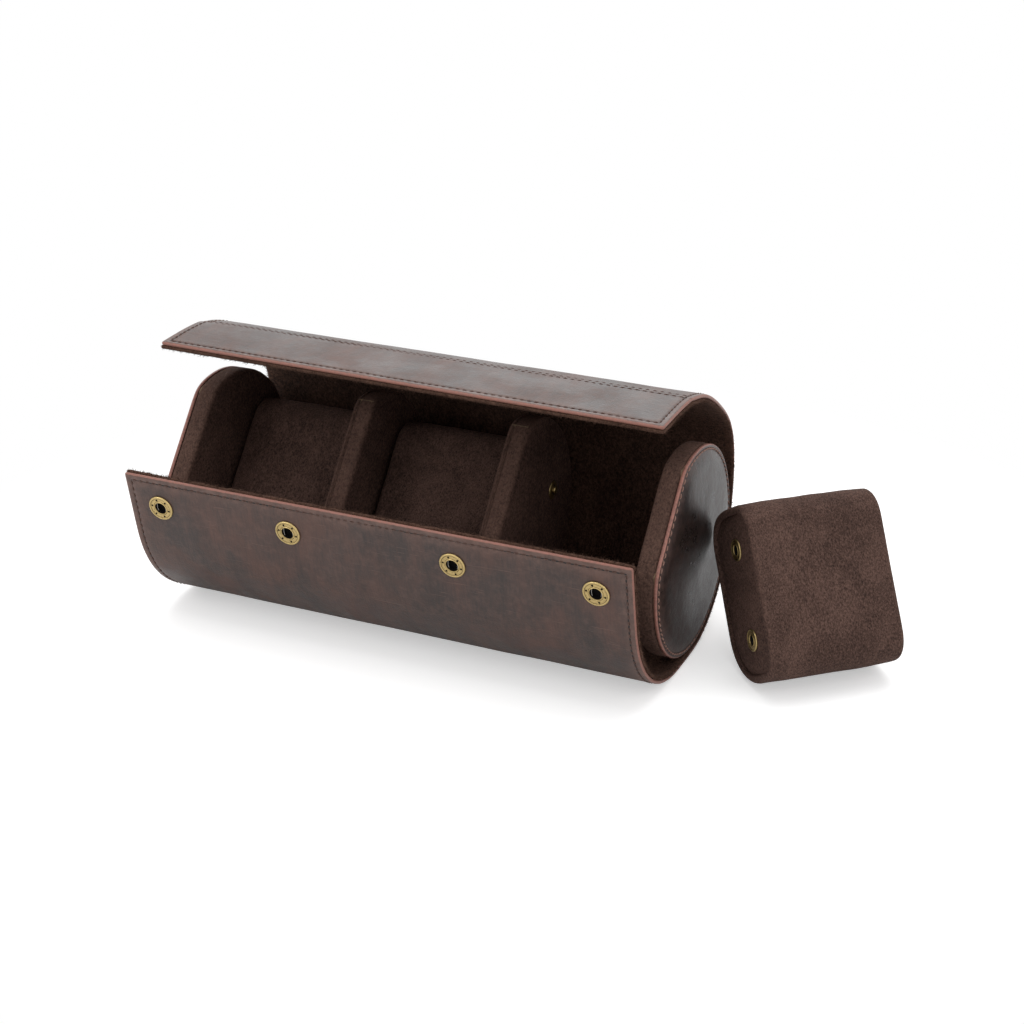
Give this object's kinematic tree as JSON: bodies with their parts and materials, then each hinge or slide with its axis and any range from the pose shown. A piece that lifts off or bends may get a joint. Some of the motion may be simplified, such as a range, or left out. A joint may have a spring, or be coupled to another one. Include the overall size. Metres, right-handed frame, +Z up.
{
  "type": "watch travel case",
  "caption": "Half-open leather watch travel roll with a snap-down lid, suede-lined compartments and cushions that lift out.",
  "frame": {"origin": "on the flat strip under the roll, at the middle of its length and below the centre line of the end walls", "axes": "+X along the roll towards its right end, +Z up, and the roll opens towards -Y"},
  "size_m": [0.307, 0.1249, 0.1162],
  "materials": {
    "leather": "satin",
    "cap_leather": "satin",
    "suede": "matte",
    "cushion_suede": "matte",
    "brass": "satin",
    "spring_steel": "satin",
    "fibreboard": "matte",
    "foam": "matte"
  },
  "bodies": {
    "case": {"base_leather": "leather", "base_lining": "suede", "left_wall_board": "fibreboard", "left_wall_suede": "suede", "left_cap_pad": "foam", "left_cap_leather": "cap_leather", "right_wall_board": "fibreboard", "right_wall_suede": "suede", "right_cap_pad": "foam", "right_cap_leather": "cap_leather", "left_divider_board": "fibreboard", "left_divider_suede_left": "suede", "left_divider_suede_right": "suede", "right_divider_board": "fibreboard", "right_divider_suede_left": "suede", "right_divider_suede_right": "suede", "cushion_studs": "brass", "cushion_stud_washers": "brass"},
    "front_panel": {"front_panel_leather": "leather", "front_panel_lining": "suede"},
    "front_flap": {"front_flap_leather": "leather", "front_flap_lining": "suede", "front_flap_stiffener": "fibreboard", "snap_sockets": "brass", "snap_springs": "spring_steel", "snap_socket_backs": "brass"},
    "lid_back": {"lid_back_leather": "leather", "lid_back_lining": "suede"},
    "lid_top": {"lid_top_leather": "leather", "lid_top_lining": "suede"},
    "top_flap": {"top_flap_leather": "leather", "top_flap_lining": "suede", "top_flap_stiffener": "fibreboard", "snap_studs": "brass", "snap_stud_caps": "brass"},
    "left_cushion": {"left_cushion_core": "foam", "left_cushion_sleeve": "cushion_suede", "left_cushion_ends": "cushion_suede", "left_cushion_sockets": "brass"},
    "middle_cushion": {"middle_cushion_core": "foam", "middle_cushion_sleeve": "cushion_suede", "middle_cushion_ends": "cushion_suede", "middle_cushion_sockets": "brass"},
    "loose_cushion": {"loose_cushion_core": "foam", "loose_cushion_sleeve": "cushion_suede", "loose_cushion_ends": "cushion_suede", "loose_cushion_sockets": "brass"}
  },
  "joints": [
    {"name": "front_panel_fold", "type": "hinge", "parent": "case", "child": "front_panel", "pos_m": [0, -0.018, 0.0016], "axis": [1, 0, 0], "range_deg": [-23, 1]},
    {"name": "front_flap_fold", "type": "hinge", "parent": "front_panel", "child": "front_flap", "pos_m": [0, -0.06347, 0.0403], "axis": [1, 0, 0], "range_deg": [-28, 45]},
    {"name": "lid_back_fold", "type": "hinge", "parent": "case", "child": "lid_back", "pos_m": [0, 0.04547, 0.04829], "axis": [-1, 0, 0], "range_deg": [-18, 30]},
    {"name": "lid_top_fold", "type": "hinge", "parent": "lid_back", "child": "lid_top", "pos_m": [0, 0.0158, 0.1041], "axis": [-1, 0, 0], "range_deg": [-22.01, 36.68]},
    {"name": "top_flap_fold", "type": "hinge", "parent": "lid_top", "child": "top_flap", "pos_m": [0, -0.0093, 0.11456], "axis": [-1, 0, 0], "range_deg": [-8, 45]},
    {"name": "left_cushion_slide", "type": "slide", "parent": "case", "child": "left_cushion", "axis": [0, -0.766, 0.6428], "range_m": [0, 0.036]},
    {"name": "middle_cushion_slide", "type": "slide", "parent": "case", "child": "middle_cushion", "axis": [0, -0.766, 0.6428], "range_m": [0, 0.036]},
    {"name": "loose_cushion_lift", "type": "slide", "parent": "case", "child": "loose_cushion", "axis": [0, 0, 1], "range_m": [0, 0.08]}
  ],
  "couplings": [
    {"joint": "lid_top_fold", "follows": "lid_back_fold", "ratio": 1.2222}
  ]
}
